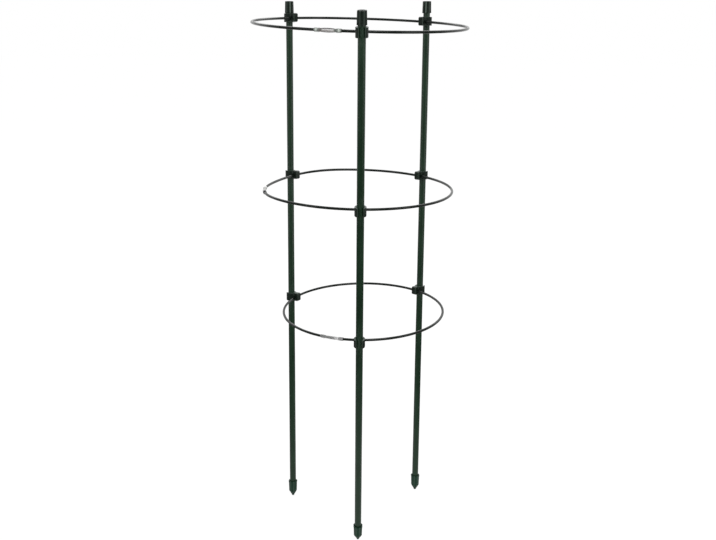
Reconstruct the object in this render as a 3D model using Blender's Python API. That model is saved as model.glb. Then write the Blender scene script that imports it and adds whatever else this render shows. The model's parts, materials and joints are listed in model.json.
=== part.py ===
"""Ring plant support: three coated stakes, gripped by nine clips that ride on three wire hoops.

Metres, +Z up. The support stands on its three tips on z = 0, with the middle of its bounding
box over the origin. +X is to the right and -Y to the front, where the front stake stands.
"""
import math

import bmesh
import bpy
import numpy as np
from mathutils import Matrix

# Clearances: what fits in, on or round another piece stands this far off it
GAP = 0.0003

# Stakes: a steel tube in a plastic coat, with a cap on top and a pointed tip
STAKE_LENGTH = 0.600
STAKE_DIAMETER = 0.0076
COAT_WALL = 0.0004
TUBE_WALL = 0.0005
STAKE_SIDES = 24

# Caps
CAP_LENGTH = 0.0127
CAP_ROOF = 0.0018
CAP_WALL_AT_MOUTH = 0.0010
CAP_WALL_AT_TOP = 0.00065
CAP_CROWN_WIDTH = 0.0009
CAP_CROWN_DEPTH = 0.0005

# Tips
TIP_SLEEVE_LENGTH = 0.0133
TIP_FLOOR = 0.0020
TIP_CONE_LENGTH = 0.0048
TIP_NUB_LENGTH = 0.0019
TIP_NUB_DIAMETER = 0.0030
TIP_RIM_LENGTH = 0.0016
TIP_RIM_WALL = 0.0014
TIP_SLEEVE_WALL = 0.0011
TIP_WALL_AT_CONE = 0.0008
TIP_CONE_END_DIAMETER = 0.0040
TIP_NUB_ROUNDING = 0.0005

# Flutes moulded round the caps and tips
FLUTES = 8
FLUTE_DEPTH = 0.00035
STEPS_PER_FLUTE = 4

# Hoops: coated wire, each bent a little oval and closed by a clear joint sleeve
WIRE_DIAMETER = 0.0028
WIRE_SIDES = 8
HOOP_STEPS = 72
TOP_HOOP_DIAMETER = 0.2275
LOWER_HOOP_DIAMETER = 0.1797
LOWER_HOOP_SHIFT = (0.0108, 0.0048)

# Joint sleeves
SLEEVE_LENGTH = 0.0260
SLEEVE_COLLAR_LENGTH = 0.0044
SLEEVE_COLLAR_WALL = 0.00040
SLEEVE_NECK_WALL = 0.00030
SLEEVE_BULGE_WALL = 0.00055
SLEEVE_GROOVE = 0.0005
SLEEVE_LIP = 0.0003
SLEEVE_SIDES = 12
WIRE_GRIP = 0.0050

# Clips: a collar that snaps on the stake, and behind it a nose threaded on the wire,
# slanted off above and below at its end
CLIP_HEIGHT = 0.0094
COLLAR_WALL = 0.0019
COLLAR_BITE = 0.0010
JAW_CUT = 0.0011
COLLAR_STEP = math.radians(18.0)
PARTITION = 0.0005
WIRE_SAG = 0.0005
WIRE_COVER = 0.0033
NOSE_WIDTH = 0.0060
NOSE_SLANT = 0.0012
CLIP_CHAMFER = 0.0004

# Values that follow from the ones above
STAKE_RADIUS = STAKE_DIAMETER / 2
SOCKET_RADIUS = STAKE_RADIUS + GAP
WIRE_RADIUS = WIRE_DIAMETER / 2
CHANNEL_RADIUS = WIRE_RADIUS + GAP
COLLAR_RADIUS = SOCKET_RADIUS + COLLAR_WALL
WIRE_OFFSET = SOCKET_RADIUS + PARTITION + CHANNEL_RADIUS
TIP_LENGTH = TIP_NUB_LENGTH + TIP_CONE_LENGTH + TIP_SLEEVE_LENGTH
SLEEVE_BORE = WIRE_RADIUS + GAP

# The stakes, anticlockwise from the left: name, bearing on the top and on the lower hoop
# in degrees, and the free length between the cap and the highest clip
STAKES = (
    ("left", 129.2, 148.3, 0.0004),
    ("front", -91.2, -94.1, 0.0017),
    ("right", 49.8, 40.5, 0.0043),
)

# The hoops: name, distance under the top hoop along the left, front and right stake,
# how oval it is, the bearing of its long axis, how far its wire is straightened on one
# side, the bearing of that side, and the bearing of its joint, all bearings in degrees
HOOPS = (
    ("top", (0.0, 0.0, 0.0), 0.029, 81.7, 0.0, 0.0, 253.5),
    ("middle", (0.1763, 0.1717, 0.1738), 0.007, -15.8, 0.114, 154.7, 191.0),
    ("lower", (0.3227, 0.3184, 0.3128), 0.023, -34.4, 0.0, 0.0, 245.9),
)
STRAIGHT_HALF_WIDTH = math.radians(55.8)
SETTLING_ROUNDS = 60


def unit(vector):
    """The vector scaled to length one."""
    vector = np.asarray(vector, float)
    return vector / np.linalg.norm(vector)


def circle_through(points):
    """Centre and radius of the circle through three points of a plane."""
    first, rest = points[0], points[1:]
    centre = np.linalg.solve(2 * (rest - first), (rest**2).sum(axis=1) - (first**2).sum())
    return centre, np.linalg.norm(first - centre)


class Hoop:
    """One wire hoop: a slightly oval ring in its own plane."""

    def __init__(self, name, below_top, oval, long_axis, straightened, straight_side, joint):
        self.name = name
        self.below_top = below_top
        self.oval = oval
        self.long_axis = math.radians(long_axis)
        self.straightened = straightened
        self.straight_side = math.radians(straight_side)
        self.joint = math.radians(joint)
        self.radius = None
        self.origin = np.zeros(3)
        self.set_plane(np.eye(3))

    def set_plane(self, points):
        """Lay the hoop's axes u (to the right), w (to the back) and n (up) in a plane."""
        normal = unit(np.cross(points[1] - points[0], points[2] - points[0]))
        self.n = normal if normal[2] > 0 else -normal
        self.u = unit(np.cross((0.0, 1.0, 0.0), self.n))
        self.w = np.cross(self.n, self.u)

    def from_straight_side(self, bearing):
        """Turn from the middle of the straightened side, as a share of half its width."""
        turn = (bearing - self.straight_side + math.pi) % (2 * math.pi) - math.pi
        return np.clip(turn / STRAIGHT_HALF_WIDTH, -1.0, 1.0)

    def swell(self, bearing):
        """How much further out than a circle's the wire lies, as a share of the radius."""
        drawn_in = (1 + np.cos(math.pi * self.from_straight_side(bearing))) / 2
        return self.oval * np.cos(2 * (bearing - self.long_axis)) - self.straightened * drawn_in

    def growth(self, bearing):
        """How fast the swell grows with the bearing."""
        easing = math.pi / 2 / STRAIGHT_HALF_WIDTH
        bend = easing * np.sin(math.pi * self.from_straight_side(bearing))
        return self.straightened * bend - 2 * self.oval * np.sin(2 * (bearing - self.long_axis))

    def local(self, bearing):
        """The wire's centre at a bearing, in the hoop's plane."""
        reach = self.radius * (1 + self.swell(bearing))
        return np.array([reach * math.cos(bearing), reach * math.sin(bearing)])

    def local_outward(self, bearing):
        """The direction square to the wire and away from the middle, in the hoop's plane."""
        reach, growth = 1 + self.swell(bearing), self.growth(bearing)
        cosine, sine = math.cos(bearing), math.sin(bearing)
        return unit([growth * sine + reach * cosine, reach * sine - growth * cosine])

    def world(self, flat):
        return self.origin + flat[0] * self.u + flat[1] * self.w

    def outward(self, bearing):
        flat = self.local_outward(bearing)
        return flat[0] * self.u + flat[1] * self.w

    def fit(self, points):
        """Move and size the hoop in its plane so that its wire runs through three points."""
        start = points.mean(axis=0)
        flat = np.c_[(points - start) @ self.u, (points - start) @ self.w]
        centre, radius = circle_through(flat)
        for _ in range(SETTLING_ROUNDS):
            away = flat - centre
            bearings = np.arctan2(away[:, 1], away[:, 0])
            directions = np.c_[np.cos(bearings), np.sin(bearings)]
            swollen = radius * self.swell(bearings)
            centre, radius = circle_through(flat - directions * swollen[:, None])
        self.radius = radius
        self.origin = start + centre[0] * self.u + centre[1] * self.w
        return bearings


class Stake:
    """One stake's axis: from its end on the ground, along a unit direction."""

    def __init__(self, name, top_bearing, lower_bearing, free_length):
        self.name = name
        self.bearings = {"top": math.radians(top_bearing), "lower": math.radians(lower_bearing)}
        self.free_length = free_length
        self.foot = np.zeros(3)
        self.direction = np.array([0.0, 0.0, 1.0])

    def wire_height(self, hoop, index):
        """Distance from the foot, along the stake, at which a hoop's wire passes it."""
        top_clip = CAP_LENGTH + self.free_length + CLIP_HEIGHT / 2 + WIRE_SAG
        return STAKE_LENGTH - top_clip - hoop.below_top[index]

    def outward(self, hoop):
        """Away from the hoop's middle, square to this stake."""
        away = hoop.outward(self.bearings[hoop.name])
        return unit(away - (away @ self.direction) * self.direction)

    def wire_point(self, hoop, index):
        """Where the wire's centre passes, on the inner side of the stake."""
        on_axis = self.foot + self.wire_height(hoop, index) * self.direction
        return on_axis - WIRE_OFFSET * self.outward(hoop)


def settle():
    """Work out how stakes and hoops lie together.

    Each hoop's plane runs through the wire channels of its three clips, whose heights are
    given along the stakes. The top and the lower hoop have given sizes, so they set where
    the stakes stand, and every stake ends on the ground. Planes and stakes depend on each
    other, so both are worked out in turn until they no longer move. The middle hoop is then
    sized to reach the three stakes.
    """
    stakes = [Stake(*row) for row in STAKES]
    hoops = {row[0]: Hoop(*row) for row in HOOPS}
    top, lower = hoops["top"], hoops["lower"]
    top.radius = TOP_HOOP_DIAMETER / 2
    lower.radius = LOWER_HOOP_DIAMETER / 2
    spots = {"top": (0.0, 0.0), "lower": LOWER_HOOP_SHIFT}
    for stake in stakes:
        stake.foot = lower.world(lower.local(stake.bearings["lower"]))
    for _ in range(SETTLING_ROUNDS):
        anchors = {}
        for hoop in (top, lower):
            points = np.array([s.wire_point(hoop, i) for i, s in enumerate(stakes)])
            hoop.set_plane(points)
            x, y = spots[hoop.name]
            rise = (points[0] - (x, y, 0.0)) @ hoop.n / hoop.n[2]
            hoop.origin = np.array([x, y, rise])
            anchors[hoop.name] = [
                hoop.world(hoop.local(s.bearings[hoop.name])) + WIRE_OFFSET * s.outward(hoop)
                for s in stakes
            ]
        for stake, high, low in zip(stakes, anchors["top"], anchors["lower"]):
            stake.direction = unit(high - low)
            stake.foot = low - stake.direction * low[2] / stake.direction[2]
    middle = hoops["middle"]
    middle.radius = (top.radius + lower.radius) / 2
    for stake in stakes:
        stake.bearings["middle"] = (stake.bearings["top"] + stake.bearings["lower"]) / 2
    for _ in range(SETTLING_ROUNDS):
        points = np.array([s.wire_point(middle, i) for i, s in enumerate(stakes)])
        middle.set_plane(points)
        for stake, bearing in zip(stakes, middle.fit(points)):
            stake.bearings["middle"] = bearing
    return stakes, list(hoops.values())


def clear_scene():
    for item in list(bpy.data.objects):
        bpy.data.objects.remove(item)


def make_material(name, colour, roughness, metallic=0.0, transmission=0.0):
    """A Principled material from a colour given as linear red, green and blue."""
    material = bpy.data.materials.new(name)
    material.use_nodes = True
    shader = material.node_tree.nodes["Principled BSDF"]
    shader.inputs["Base Color"].default_value = (*colour, 1.0)
    shader.inputs["Roughness"].default_value = roughness
    shader.inputs["Metallic"].default_value = metallic
    shader.inputs["Transmission Weight"].default_value = transmission
    return material


def make_empty(name, matrix, parent=None):
    empty = bpy.data.objects.new(name, None)
    bpy.context.collection.objects.link(empty)
    empty.parent = parent
    empty.matrix_basis = matrix
    return empty


def axes_matrix(origin, x, y, z):
    """A matrix from an origin and three unit axes."""
    matrix = Matrix.Identity(4)
    for column, axis in enumerate((x, y, z, origin)):
        for row in range(3):
            matrix[row][column] = axis[row]
    return matrix


def lofted(name, rings, wrapped=False, smooth_angle=40.0):
    """A closed mesh over rings of points: round through the last ring to the first, or
    with both ends filled."""
    mesh = bpy.data.meshes.new(name)
    bm = bmesh.new()
    loops = [[bm.verts.new(point) for point in ring] for ring in rings]
    pairs = list(zip(loops, loops[1:]))
    if wrapped:
        pairs.append((loops[-1], loops[0]))
    else:
        bm.faces.new(loops[0])
        bm.faces.new(loops[-1])
    for near, far in pairs:
        for index, corner in enumerate(near):
            after = (index + 1) % len(near)
            bm.faces.new((corner, near[after], far[after], far[index]))
    bmesh.ops.recalc_face_normals(bm, faces=bm.faces)
    bm.to_mesh(mesh)
    bm.free()
    mesh.shade_smooth()
    mesh.set_sharp_from_angle(angle=math.radians(smooth_angle))
    return mesh


def place(name, mesh, material, parent, matrix=None):
    """Add a piece under its parent."""
    piece = bpy.data.objects.new(name, mesh)
    bpy.context.collection.objects.link(piece)
    piece.parent = parent
    if matrix is not None:
        piece.matrix_basis = matrix
    if not mesh.materials:
        mesh.materials.append(material)
    return piece


def around(sides):
    return [2 * math.pi * step / sides for step in range(sides)]


def round_hole(radius, sides):
    """Corner radius of a polygon whose flats keep the given radius clear."""
    return radius / math.cos(math.pi / sides)


def disc_ring(radius, z, sides):
    return [(radius * math.cos(a), radius * math.sin(a), z) for a in around(sides)]


def fluted_ring(radius, z):
    """A round outline with shallow flutes, its crests at the given radius."""
    ring = []
    for angle in around(FLUTES * STEPS_PER_FLUTE):
        reach = radius - FLUTE_DEPTH * (1 - math.cos(FLUTES * angle)) / 2
        ring.append((reach * math.cos(angle), reach * math.sin(angle), z))
    return ring


def tube_mesh(name, outer, wall, low, high):
    """A straight tube along z, open at both ends."""
    inner = outer - wall
    profile = ((outer, low), (outer, high), (inner, high), (inner, low))
    return lofted(name, [disc_ring(r, z, STAKE_SIDES) for r, z in profile], wrapped=True)


def cap_mesh():
    """A fluted cap: a socket open below, and a flat top inside a low crown of flute ends."""
    sides = FLUTES * STEPS_PER_FLUTE
    bore = round_hole(SOCKET_RADIUS, sides)
    mouth = STAKE_LENGTH - CAP_LENGTH
    inside = STAKE_LENGTH - CAP_ROOF
    crown = SOCKET_RADIUS + CAP_WALL_AT_TOP
    flat = crown - CAP_CROWN_WIDTH
    return lofted("cap", [
        disc_ring(bore, inside, sides),
        disc_ring(bore, mouth, sides),
        fluted_ring(SOCKET_RADIUS + CAP_WALL_AT_MOUTH, mouth),
        fluted_ring(crown, STAKE_LENGTH),
        disc_ring(flat, STAKE_LENGTH, sides),
        disc_ring(flat, STAKE_LENGTH - CAP_CROWN_DEPTH, sides),
    ])


def tip_mesh():
    """A fluted ferrule open above, with a wider rim, a cone and a blunt nub below."""
    sides = FLUTES * STEPS_PER_FLUTE
    bore = round_hole(SOCKET_RADIUS, sides)
    floor = TIP_NUB_LENGTH + TIP_CONE_LENGTH
    rim = TIP_LENGTH - TIP_RIM_LENGTH
    body = SOCKET_RADIUS + TIP_SLEEVE_WALL
    nub = TIP_NUB_DIAMETER / 2
    return lofted("tip", [
        disc_ring(bore, floor + TIP_FLOOR, sides),
        disc_ring(bore, TIP_LENGTH, sides),
        fluted_ring(SOCKET_RADIUS + TIP_RIM_WALL, TIP_LENGTH),
        fluted_ring(SOCKET_RADIUS + TIP_RIM_WALL, rim),
        fluted_ring(body, rim - TIP_RIM_LENGTH / 2),
        fluted_ring(SOCKET_RADIUS + TIP_WALL_AT_CONE, floor),
        disc_ring(TIP_CONE_END_DIAMETER / 2, TIP_NUB_LENGTH, sides),
        disc_ring(nub, TIP_NUB_LENGTH, sides),
        disc_ring(nub, TIP_NUB_ROUNDING, sides),
        disc_ring(nub - TIP_NUB_ROUNDING, 0.0, sides),
    ])


def hoop_ring(hoop, bearing, profile):
    """A wire section at a bearing: (outward, up) points set square to the wire."""
    x, y = hoop.local(bearing)
    across, along = hoop.local_outward(bearing)
    return [(x + across * out, y + along * out, up) for out, up in profile]


def wire_mesh(hoop):
    """The hoop's wire, open where its two ends meet in the joint sleeve."""
    profile = [(WIRE_RADIUS * math.cos(a), WIRE_RADIUS * math.sin(a)) for a in around(WIRE_SIDES)]
    between_ends = SLEEVE_LENGTH - 2 * WIRE_GRIP
    half_gap = between_ends / 2 / np.linalg.norm(hoop.local(hoop.joint))
    turn = 2 * math.pi - 2 * half_gap
    bearings = [hoop.joint + half_gap + turn * step / HOOP_STEPS for step in range(HOOP_STEPS + 1)]
    return lofted(hoop.name + "_hoop", [hoop_ring(hoop, b, profile) for b in bearings])


def channel_mesh(hoop):
    """The space that the clips leave for the wire: a ring thicker than it by a gap."""
    radius = round_hole(CHANNEL_RADIUS, WIRE_SIDES)
    profile = [(radius * math.cos(a), radius * math.sin(a)) for a in around(WIRE_SIDES)]
    bearings = around(HOOP_STEPS)
    name = hoop.name + "_channel"
    return lofted(name, [hoop_ring(hoop, b, profile) for b in bearings], wrapped=True)


def sleeve_outer_radius(along):
    """Outer radius of a joint sleeve at a distance from its middle: a bulge between two
    collars."""
    inner_end = SLEEVE_LENGTH / 2 - SLEEVE_COLLAR_LENGTH - SLEEVE_GROOVE
    if abs(along) > inner_end:
        return SLEEVE_BORE + SLEEVE_COLLAR_WALL
    swell = math.cos(math.pi / 2 * along / inner_end) ** 2
    return SLEEVE_BORE + SLEEVE_NECK_WALL + (SLEEVE_BULGE_WALL - SLEEVE_NECK_WALL) * swell


def sleeve_mesh(name, bend_radius):
    """A clear sleeve bent round the z axis, its middle at +x: (distance along, radius)."""
    end = SLEEVE_LENGTH / 2
    collar = end - SLEEVE_COLLAR_LENGTH
    neck = collar - SLEEVE_GROOVE
    outer = [(end, SLEEVE_BORE + SLEEVE_COLLAR_WALL - SLEEVE_LIP / 2)]
    outer += [(end - SLEEVE_LIP, sleeve_outer_radius(end)), (collar, sleeve_outer_radius(end))]
    outer += [(neck * share, sleeve_outer_radius(neck * share)) for share in (1, 0.75, 0.5, 0.25)]
    outer += [(0.0, sleeve_outer_radius(0.0))] + [(-s, r) for s, r in reversed(outer)]
    bore = round_hole(SLEEVE_BORE, SLEEVE_SIDES)
    sections = outer + [(end * share, bore) for share in (-1, -0.5, 0, 0.5, 1)]
    rings = []
    for along, radius in sections:
        turn = along / bend_radius
        ring = []
        for angle in around(SLEEVE_SIDES):
            reach = bend_radius + radius * math.cos(angle)
            ring.append((reach * math.cos(turn), reach * math.sin(turn), radius * math.sin(angle)))
        rings.append(ring)
    return lofted(name, rings, wrapped=True)


def arc(radius, start, end):
    """Points along an arc, a fixed step apart or nearly so."""
    steps = max(2, round(abs(end - start) / COLLAR_STEP))
    angles = [start + (end - start) * k / steps for k in range(steps + 1)]
    return [(radius * math.cos(a), radius * math.sin(a)) for a in angles]


def clip_outline(reach):
    """The clip from above, the stake's axis at the origin and +y away from the hoop: a
    collar open outwards, and behind it a nose that reaches inwards as far as given."""
    bore = round_hole(SOCKET_RADIUS, round(2 * math.pi / COLLAR_STEP))
    mouth = STAKE_RADIUS - COLLAR_BITE
    jaw_end = COLLAR_RADIUS - JAW_CUT
    inner_jaw = math.asin(mouth / bore)
    outer_jaw = math.asin(jaw_end / COLLAR_RADIUS)
    nose_root = -math.acos(NOSE_WIDTH / 2 / COLLAR_RADIUS)
    right_side = [(mouth, jaw_end)] + arc(COLLAR_RADIUS, outer_jaw, nose_root)
    right_side += [(NOSE_WIDTH / 2, -reach)]
    left_side = [(-x, y) for x, y in reversed(right_side)]
    around_stake = arc(bore, math.pi / 2 + inner_jaw, 2.5 * math.pi - inner_jaw)
    return right_side + left_side + around_stake


def clip_mesh():
    """The clip's outline raised to its height, its nose slanted off above and below."""
    half, reach = CLIP_HEIGHT / 2, WIRE_OFFSET + CHANNEL_RADIUS + WIRE_COVER
    levels = [(side * (half - slant), reach - (NOSE_SLANT - slant))
              for side, slant in ((-1, 0.0), (-1, NOSE_SLANT), (1, NOSE_SLANT), (1, 0.0))]
    return lofted("clip", [[(x, y, z) for x, y in clip_outline(depth)] for z, depth in levels])


def make_cutter(name, mesh, parent):
    """A shape that only cuts others."""
    cutter = bpy.data.objects.new(name, mesh)
    bpy.context.collection.objects.link(cutter)
    cutter.parent = parent
    cutter.hide_render = True
    cutter.display_type = "WIRE"
    return cutter


def add_clip_modifiers(clip, channel):
    """Chamfer a clip's edges, then cut the channel of the wire it holds."""
    chamfer = clip.modifiers.new("chamfer", "BEVEL")
    chamfer.width = CLIP_CHAMFER
    chamfer.segments = 1
    chamfer.limit_method = "ANGLE"
    chamfer.angle_limit = math.radians(60.0)
    cut = clip.modifiers.new("channel", "BOOLEAN")
    cut.operation = "DIFFERENCE"
    cut.object = channel


def build_stakes(stakes, hoops, support, materials):
    """Each stake is its own moving group: tube, coat, cap and tip."""
    low = TIP_LENGTH - TIP_SLEEVE_LENGTH + TIP_FLOOR + GAP
    high = STAKE_LENGTH - CAP_ROOF - GAP
    coat = tube_mesh("coat", STAKE_RADIUS, COAT_WALL, low, high)
    tube = tube_mesh("tube", STAKE_RADIUS - COAT_WALL - GAP, TUBE_WALL, low, high)
    meshes = (("tube", tube, "steel"), ("coat", coat, "coat"),
              ("cap", cap_mesh(), "moulding"), ("tip", tip_mesh(), "moulding"))
    for stake in stakes:
        outward = stake.outward(hoops[0])
        matrix = axes_matrix(stake.foot, np.cross(outward, stake.direction), outward, stake.direction)
        group = make_empty(stake.name + "_stake", matrix, support)
        for piece, mesh, material in meshes:
            place(f"{stake.name}_stake_{piece}", mesh, materials[material], group)


def build_hoops(stakes, hoops, support, materials):
    """Each hoop with its three clips and its joint sleeve."""
    clip = clip_mesh()
    for hoop in hoops:
        plane = axes_matrix(hoop.origin, hoop.u, hoop.w, hoop.n)
        group = make_empty(hoop.name + "_level", plane, support)
        place(hoop.name + "_hoop", wire_mesh(hoop), materials["wire"], group)
        channel = make_cutter(hoop.name + "_channel", channel_mesh(hoop), group)
        build_sleeve(hoop, group, materials)
        for index, stake in enumerate(stakes):
            outward = stake.outward(hoop)
            middle = stake.foot + (stake.wire_height(hoop, index) + WIRE_SAG) * stake.direction
            matrix = axes_matrix(middle, np.cross(outward, stake.direction), outward, stake.direction)
            piece = place(f"{hoop.name}_{stake.name}_clip", clip, materials["moulding"], support, matrix)
            add_clip_modifiers(piece, channel)


def build_sleeve(hoop, group, materials):
    """The joint sleeve, whose origin is the centre of the arc that it slides along."""
    half_turn = SLEEVE_LENGTH / 2 / np.linalg.norm(hoop.local(hoop.joint))
    arc_points = [hoop.local(hoop.joint + side * half_turn) for side in (-1, 0, 1)]
    centre, radius = circle_through(np.array(arc_points))
    toward = unit(arc_points[1] - centre)
    matrix = axes_matrix((*centre, 0.0), (*toward, 0.0), (-toward[1], toward[0], 0.0), (0.0, 0.0, 1.0))
    axis = make_empty(hoop.name + "_sleeve_axis", matrix, group)
    name = hoop.name + "_hoop_sleeve"
    place(name, sleeve_mesh(name, radius), materials["clear"], axis)


def centre_on_ground(support):
    """Move the whole support so that it stands on z = 0 with its middle over the origin."""
    bpy.context.view_layer.update()
    solids = [o for o in bpy.data.objects if o.type == "MESH" and not o.hide_render]
    corners = np.array([o.matrix_world @ v.co for o in solids for v in o.data.vertices])
    low, high = corners.min(axis=0), corners.max(axis=0)
    support.location = (-(low[0] + high[0]) / 2, -(low[1] + high[1]) / 2, -low[2])
    bpy.context.view_layer.update()


def main():
    clear_scene()
    materials = {
        "coat": make_material("green_stake_coat", (0.010, 0.031, 0.017), 0.35),
        "wire": make_material("dark_green_wire_coat", (0.006, 0.012, 0.008), 0.30),
        "moulding": make_material("black_green_moulding", (0.010, 0.015, 0.012), 0.45),
        "steel": make_material("galvanised_steel", (0.52, 0.53, 0.54), 0.40, metallic=1.0),
        "clear": make_material("clear_soft_plastic", (0.85, 0.84, 0.82), 0.12, transmission=1.0),
    }
    stakes, hoops = settle()
    support = make_empty("support", Matrix.Identity(4))
    build_stakes(stakes, hoops, support, materials)
    build_hoops(stakes, hoops, support, materials)
    centre_on_ground(support)


main()
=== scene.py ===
"""Ring plant support: the finished looks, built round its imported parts.

Metres, +Z up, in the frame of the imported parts. Three coated stakes stand in a triangle, and
nine moulded clips hold three wire hoops to them. Each hoop's two wire ends meet in a clear
sleeve. Laid out as an add-on with a panel in the 3D view's sidebar, and run as a script.
"""
import json
import math

import bpy
import numpy as np
from bpy.props import FloatProperty, FloatVectorProperty, IntProperty, PointerProperty
from mathutils import Matrix


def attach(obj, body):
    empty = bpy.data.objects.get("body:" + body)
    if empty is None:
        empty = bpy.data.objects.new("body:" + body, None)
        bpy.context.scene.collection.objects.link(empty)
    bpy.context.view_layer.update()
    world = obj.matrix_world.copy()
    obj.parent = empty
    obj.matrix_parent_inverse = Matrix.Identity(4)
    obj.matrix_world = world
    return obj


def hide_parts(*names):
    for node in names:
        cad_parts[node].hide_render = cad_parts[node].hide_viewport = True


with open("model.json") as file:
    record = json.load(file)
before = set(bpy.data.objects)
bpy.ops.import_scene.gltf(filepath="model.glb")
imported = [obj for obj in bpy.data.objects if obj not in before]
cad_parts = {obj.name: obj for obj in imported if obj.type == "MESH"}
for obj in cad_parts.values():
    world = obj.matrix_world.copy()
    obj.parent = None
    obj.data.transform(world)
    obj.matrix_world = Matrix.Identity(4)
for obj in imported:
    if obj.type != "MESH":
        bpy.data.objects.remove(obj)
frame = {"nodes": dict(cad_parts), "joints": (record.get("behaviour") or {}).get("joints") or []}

bl_info = {
    "name": "Ring plant support",
    "version": (1, 0, 0),
    "blender": (4, 5, 0),
    "location": "3D View > Sidebar > Plant support",
    "description": "Coated stakes, wire hoops, clips and joint sleeves of a ring plant support",
    "category": "Object",
}

NODES = frame["nodes"]
JOINTS = {joint["name"]: joint for joint in frame["joints"]}
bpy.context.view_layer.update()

SIDES = ("left", "front", "right")
LEVELS = ("top", "middle", "lower")
MM = 1000.0

# Each hoop: its middle and radius in metres, how oval it is, the bearing of its long axis, how
# far its wire is straightened on one side, and the bearings of that side and of its joint.
# Bearings are in degrees
HOOP_SHAPES = {
    "top": ((0.000007, 0.005824, 0.577618), 0.113750, 0.029, 81.7, 0.0, 0.0, 253.5),
    "middle": ((-0.000005, 0.009720, 0.404759), 0.103583, 0.007, -15.8, 0.114, 154.7, 191.0),
    "lower": ((0.010807, 0.010624, 0.261485), 0.089850, 0.023, -34.4, 0.0, 0.0, 245.9),
}
STRAIGHT_HALF_WIDTH = math.radians(55.8)

# The bearing in degrees of the first land of each stake's cap and tip, and how pale that land
# of the cap is made: rubbed, and on the left and right caps also a painted highlight stripe.
# The other lands are paled less, by rubbing and a fainter painted highlight
FIRST_LANDS = {"left": -119.1, "front": 65.6, "right": -64.4}
FIRST_LAND_WEAR_AND_HIGHLIGHT = {"left": 1.0, "front": 0.3, "right": 1.0}
LAND_WEAR_AND_HIGHLIGHT = 0.32
# How pale a clip's corners and its top and bottom edges are made, by rubbing and a painted highlight
CLIP_EDGE_WEAR_AND_HIGHLIGHT = 0.40

# How much a profile's corner is rounded, the longest step along it, and the height and width
# over which the mouth of a socket opens out
FINE, SMALL, EASED, SOFT = 0.0001, 0.0002, 0.0003, 0.0004
STEP = 0.0004
LEAD_HEIGHT, LEAD_WIDTH = 0.0005, 0.0003

# How thick a tip's wall is where its flutes are first cut in full
FULL_FLUTE_WALL = 0.0007

# Faces that meet at a sharper angle than this keep a crisp edge between them
SHARP_DEGREES = 32.0
FLUTED_SHARP_DEGREES = 40.0

# Rows along a piece and points round it
COAT_ROWS, COAT_COLUMNS = 300, 72
FLUTE_COLUMNS = 20
WIRE_ROWS, WIRE_COLUMNS = 721, 24
SWELLING_ROWS, COLLAR_ROWS, SLEEVE_COLUMNS = 41, 8, 48
ARC_POINTS, OUTLINE_POINTS, EDGE_POINTS = 60, 320, 6
CHANNEL_ROWS, CHANNEL_COLUMNS = 41, 28
FLOOR_RINGS, FLOOR_COLUMNS = 12, 72

# Where the first piece of a kind is cut from the endless patterns, and how far on the next
# one is, in millimetres
PATTERN_PLACES = {
    "coat": (0.0, 700.0), "cap": (0.0, 50.0), "tip": (300.0, 50.0),
    "wire": (0.0, 800.0), "sleeve": (0.0, 60.0), "clip": (1080.0, 40.0),
}

# How far from a clip its rubbing of the coat has faded to a third, in millimetres
RUB_REACH = 16.0


def linear(colour):
    """Linear red, green and blue of an sRGB colour written as #rrggbb."""
    channels = np.array([int(colour[i:i + 2], 16) for i in (1, 3, 5)]) / 255.0
    curved = ((channels + 0.055) / 1.055) ** 2.4
    return tuple(np.where(channels <= 0.04045, channels / 12.92, curved).tolist())


def size(name, default, description):
    """A length that can be changed in the panel."""
    return FloatProperty(
        name=name, description=description, default=default, min=0.0, precision=5,
        subtype="DISTANCE", unit="LENGTH",
    )


def colour(name, default, description):
    """A colour that can be changed in the panel, given as sRGB hex."""
    return FloatVectorProperty(
        name=name, description=description, default=linear(default), size=3, min=0.0, max=1.0,
        subtype="COLOR",
    )


class StakeSizes(bpy.types.PropertyGroup):
    length: size("Length", 0.600, "From the point of the tip to the top of the cap")
    diameter: size("Diameter", 0.0076, "Outside of the coat")
    coat_wall: size("Coat wall", 0.0004, "Thickness of the plastic coat")
    clearance: size("Clearance", 0.0003, "Gap between the coat and what is pushed over it")
    ripple: size("Ripple", 0.00002, "Depth of the slow waves left in the coat")


class CapSizes(bpy.types.PropertyGroup):
    length: size("Length", 0.0127, "From mouth to top")
    roof: size("Roof", 0.0018, "Plastic above the end of the stake")
    mouth_wall: size("Mouth wall", 0.0010, "Wall at the mouth")
    top_wall: size("Top wall", 0.00065, "Wall at the top")
    crown_width: size("Crown width", 0.0009, "Width of the low rim round the top")
    crown_depth: size("Crown depth", 0.0005, "How far the top lies under its rim")
    gate: size("Gate mark", 0.0009, "Radius of the gate mark in the middle of the top")
    flutes: IntProperty(name="Flutes", description="Grooves round caps and tips", default=8, min=3)
    flute_depth: size("Flute depth", 0.00035, "Depth of a groove")


class TipSizes(bpy.types.PropertyGroup):
    sleeve: size("Sleeve", 0.0133, "Length of the fluted ferrule")
    floor: size("Floor", 0.0020, "Plastic under the end of the stake")
    cone: size("Cone", 0.0048, "Length of the cone")
    nub: size("Nub", 0.0019, "Length of the blunt nub")
    nub_diameter: size("Nub diameter", 0.0030, "Across the nub")
    nub_bevel: size("Nub bevel", 0.0005, "Bevel round the nub's end")
    rim: size("Rim", 0.0016, "Height of the wider rim")
    rim_wall: size("Rim wall", 0.0014, "Wall at the rim")
    sleeve_wall: size("Sleeve wall", 0.0011, "Wall under the rim")
    cone_wall: size("Cone wall", 0.0008, "Wall where the cone begins")
    cone_end: size("Cone end", 0.0040, "Across the cone's lower end")


class WireSizes(bpy.types.PropertyGroup):
    diameter: size("Diameter", 0.0028, "Outside of the wire's coat")
    coat_wall: size("Coat wall", 0.00025, "Thickness of the wire's coat")
    ripple: size("Ripple", 0.00001, "Depth of the slow waves left in the coat")
    grip: size("Grip", 0.0050, "How deep a wire end sits in its sleeve")


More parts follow.
